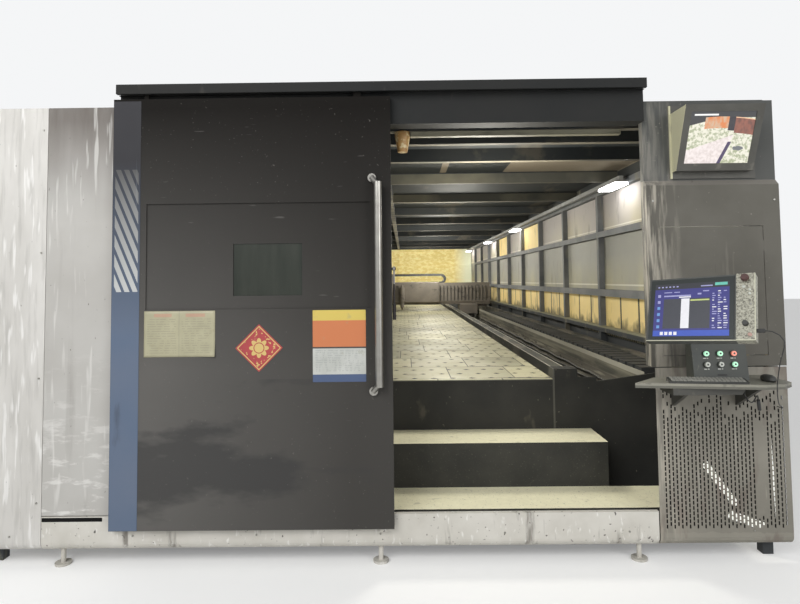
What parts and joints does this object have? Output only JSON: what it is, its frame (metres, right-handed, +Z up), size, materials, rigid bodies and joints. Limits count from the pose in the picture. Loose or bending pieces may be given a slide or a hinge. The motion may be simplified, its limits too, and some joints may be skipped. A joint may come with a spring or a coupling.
{
  "type": "fiber laser cutting machine",
  "caption": "Long enclosed fiber laser cutting machine with sliding front door, steps, slatted table, moving gantry, swivelling control console and overhead monitor",
  "frame": {"origin": "on the floor, under the leg block in the middle of the bed", "axes": "+X to the operator's right, +Y to the back of the cabin, +Z up; the front with the door faces -Y"},
  "size_m": [4.64, 15.9373, 2.76],
  "materials": {
    "door_paint": "matt dark grey paint, scratched",
    "silver_paint": "worn silver paint",
    "bronze_paint": "bronze-grey paint with dust streaks",
    "frame_paint": "blue-grey paint",
    "bed_paint": "dark dusty paint",
    "pane": "pale yellowish painted sheet",
    "table_steel": "stained steel sheet",
    "dusty_steel": "dusty steel",
    "stainless": "brushed",
    "dark_plastic": "matt",
    "pale_plastic": "pale grey paint",
    "glass_dark": "dark green laser-safe sheet",
    "glass_lit": "lit screen",
    "amber": "amber lens",
    "red_plastic": "satin",
    "green_plastic": "satin",
    "white_plastic": "satin",
    "black_rubber": "matt"
  },
  "bodies": {
    "base": {"access_door": "bronze_paint", "beacon": "amber", "bed_end_wall": "bed_paint", "bed_frame": "bed_paint", "button_box": "dark_plastic", "cable_trough": "dusty_steel", "door_rail": "frame_paint", "front_skirt": "silver_paint", "hanging_lead": "black_rubber", "hanging_plug": "black_rubber", "header_beam": "frame_paint", "keyboard": "dark_plastic", "left_column": "silver_paint", "left_panel": "silver_paint", "light_rail": "white_plastic", "monitor_housing": "pale_plastic", "monitor_screen": "glass_lit", "mouse": "dark_plastic", "perforated_panel": "bronze_paint", "rail_cover_left": "dusty_steel", "rail_cover_right": "dusty_steel", "rear_wall": "pane", "right_column": "bronze_paint", "roof_frame": "frame_paint", "roof_panels": "frame_paint", "shelf": "dark_plastic", "slat_bed": "dusty_steel", "step_lower": "dusty_steel", "step_upper": "dusty_steel", "table_sheet": "table_steel", "usb_lead": "black_rubber", "wall_frame_left": "frame_paint", "wall_frame_right": "frame_paint", "wall_panels_left": "pane", "wall_panels_right": "pane", "y_chain": "dark_plastic"},
    "door": {"door_leaf": "door_paint", "door_window": "glass_dark", "door_handle": "stainless"},
    "door_latch_body": {"door_latch": "dark_plastic"},
    "roller_left_body": {"roller_left": "dark_plastic"},
    "roller_right_body": {"roller_right": "dark_plastic"},
    "gantry": {"gantry_beam": "bed_paint", "end_carriage_left": "bed_paint", "end_carriage_right": "bed_paint"},
    "carriage": {"x_carriage": "bed_paint", "x_chain": "dark_plastic"},
    "head": {"z_slide": "stainless", "cutting_head": "stainless"},
    "console": {"panel_housing": "stainless", "display": "glass_lit", "usb_plug": "black_rubber"},
    "stop_body": {"e_stop": "red_plastic"},
    "knob_body": {"override_knob": "dark_plastic"},
    "press_1": {"button_1": "green_plastic"},
    "press_2": {"button_2": "green_plastic"},
    "press_3": {"button_3": "red_plastic"},
    "press_4": {"button_4": "white_plastic"},
    "press_5": {"button_5": "white_plastic"},
    "press_6": {"button_6": "green_plastic"}
  },
  "joints": [
    {"name": "door_slide", "type": "slide", "parent": "base", "child": "door", "axis": [1, 0, 0], "range_m": [0, 1.48]},
    {"name": "door_latch_turn", "type": "hinge", "parent": "door", "child": "door_latch_body", "pos_m": [0.08, -7.6303, 1.665], "axis": [-1, 0, 0], "range_deg": [0, 90]},
    {"name": "roller_left_spin", "type": "hinge", "parent": "door", "child": "roller_left_body", "pos_m": [-1.3236, -7.6303, 2.7103], "axis": [0, 1, 0], "continuous": true},
    {"name": "roller_right_spin", "type": "hinge", "parent": "door", "child": "roller_right_body", "pos_m": [-0.1114, -7.6303, 2.7103], "axis": [0, 1, 0], "continuous": true},
    {"name": "gantry_travel", "type": "slide", "parent": "base", "child": "gantry", "axis": [0, 1, 0], "range_m": [-8.8, 3]},
    {"name": "carriage_travel", "type": "slide", "parent": "gantry", "child": "carriage", "axis": [1, 0, 0], "range_m": [-1.3, 1]},
    {"name": "head_travel", "type": "slide", "parent": "carriage", "child": "head", "axis": [0, 0, 1], "range_m": [-0.035, 0.1]},
    {"name": "console_swivel", "type": "hinge", "parent": "base", "child": "console", "pos_m": [1.7, -7.835, 1.415], "axis": [0, 0, 1], "range_deg": [-15, 30]},
    {"name": "stop_press", "type": "slide", "parent": "console", "child": "stop_body", "axis": [0.613, 0.6573, -0.4384], "range_m": [0, 0.004], "stiffness_N_per_m": 600},
    {"name": "knob_turn", "type": "hinge", "parent": "console", "child": "knob_body", "pos_m": [1.72698, -8.24543, 1.38086], "axis": [0.613, 0.6573, -0.4384], "range_deg": [-150, 150]},
    {"name": "press_1_push", "type": "slide", "parent": "base", "child": "press_1", "axis": [0, 0.9883, -0.1523], "range_m": [0, 0.004], "stiffness_N_per_m": 400},
    {"name": "press_2_push", "type": "slide", "parent": "base", "child": "press_2", "axis": [0, 0.9883, -0.1523], "range_m": [0, 0.004], "stiffness_N_per_m": 400},
    {"name": "press_3_push", "type": "slide", "parent": "base", "child": "press_3", "axis": [0, 0.9883, -0.1523], "range_m": [0, 0.004], "stiffness_N_per_m": 400},
    {"name": "press_4_push", "type": "slide", "parent": "base", "child": "press_4", "axis": [0, 0.9883, -0.1523], "range_m": [0, 0.004], "stiffness_N_per_m": 400},
    {"name": "press_5_push", "type": "slide", "parent": "base", "child": "press_5", "axis": [0, 0.9883, -0.1523], "range_m": [0, 0.004], "stiffness_N_per_m": 400},
    {"name": "press_6_push", "type": "slide", "parent": "base", "child": "press_6", "axis": [0, 0.9883, -0.1523], "range_m": [0, 0.004], "stiffness_N_per_m": 400}
  ],
  "couplings": [
    {"joint": "roller_left_spin", "follows": "door_slide", "rad_per_m": 58.824},
    {"joint": "roller_right_spin", "follows": "door_slide", "rad_per_m": 58.824}
  ]
}
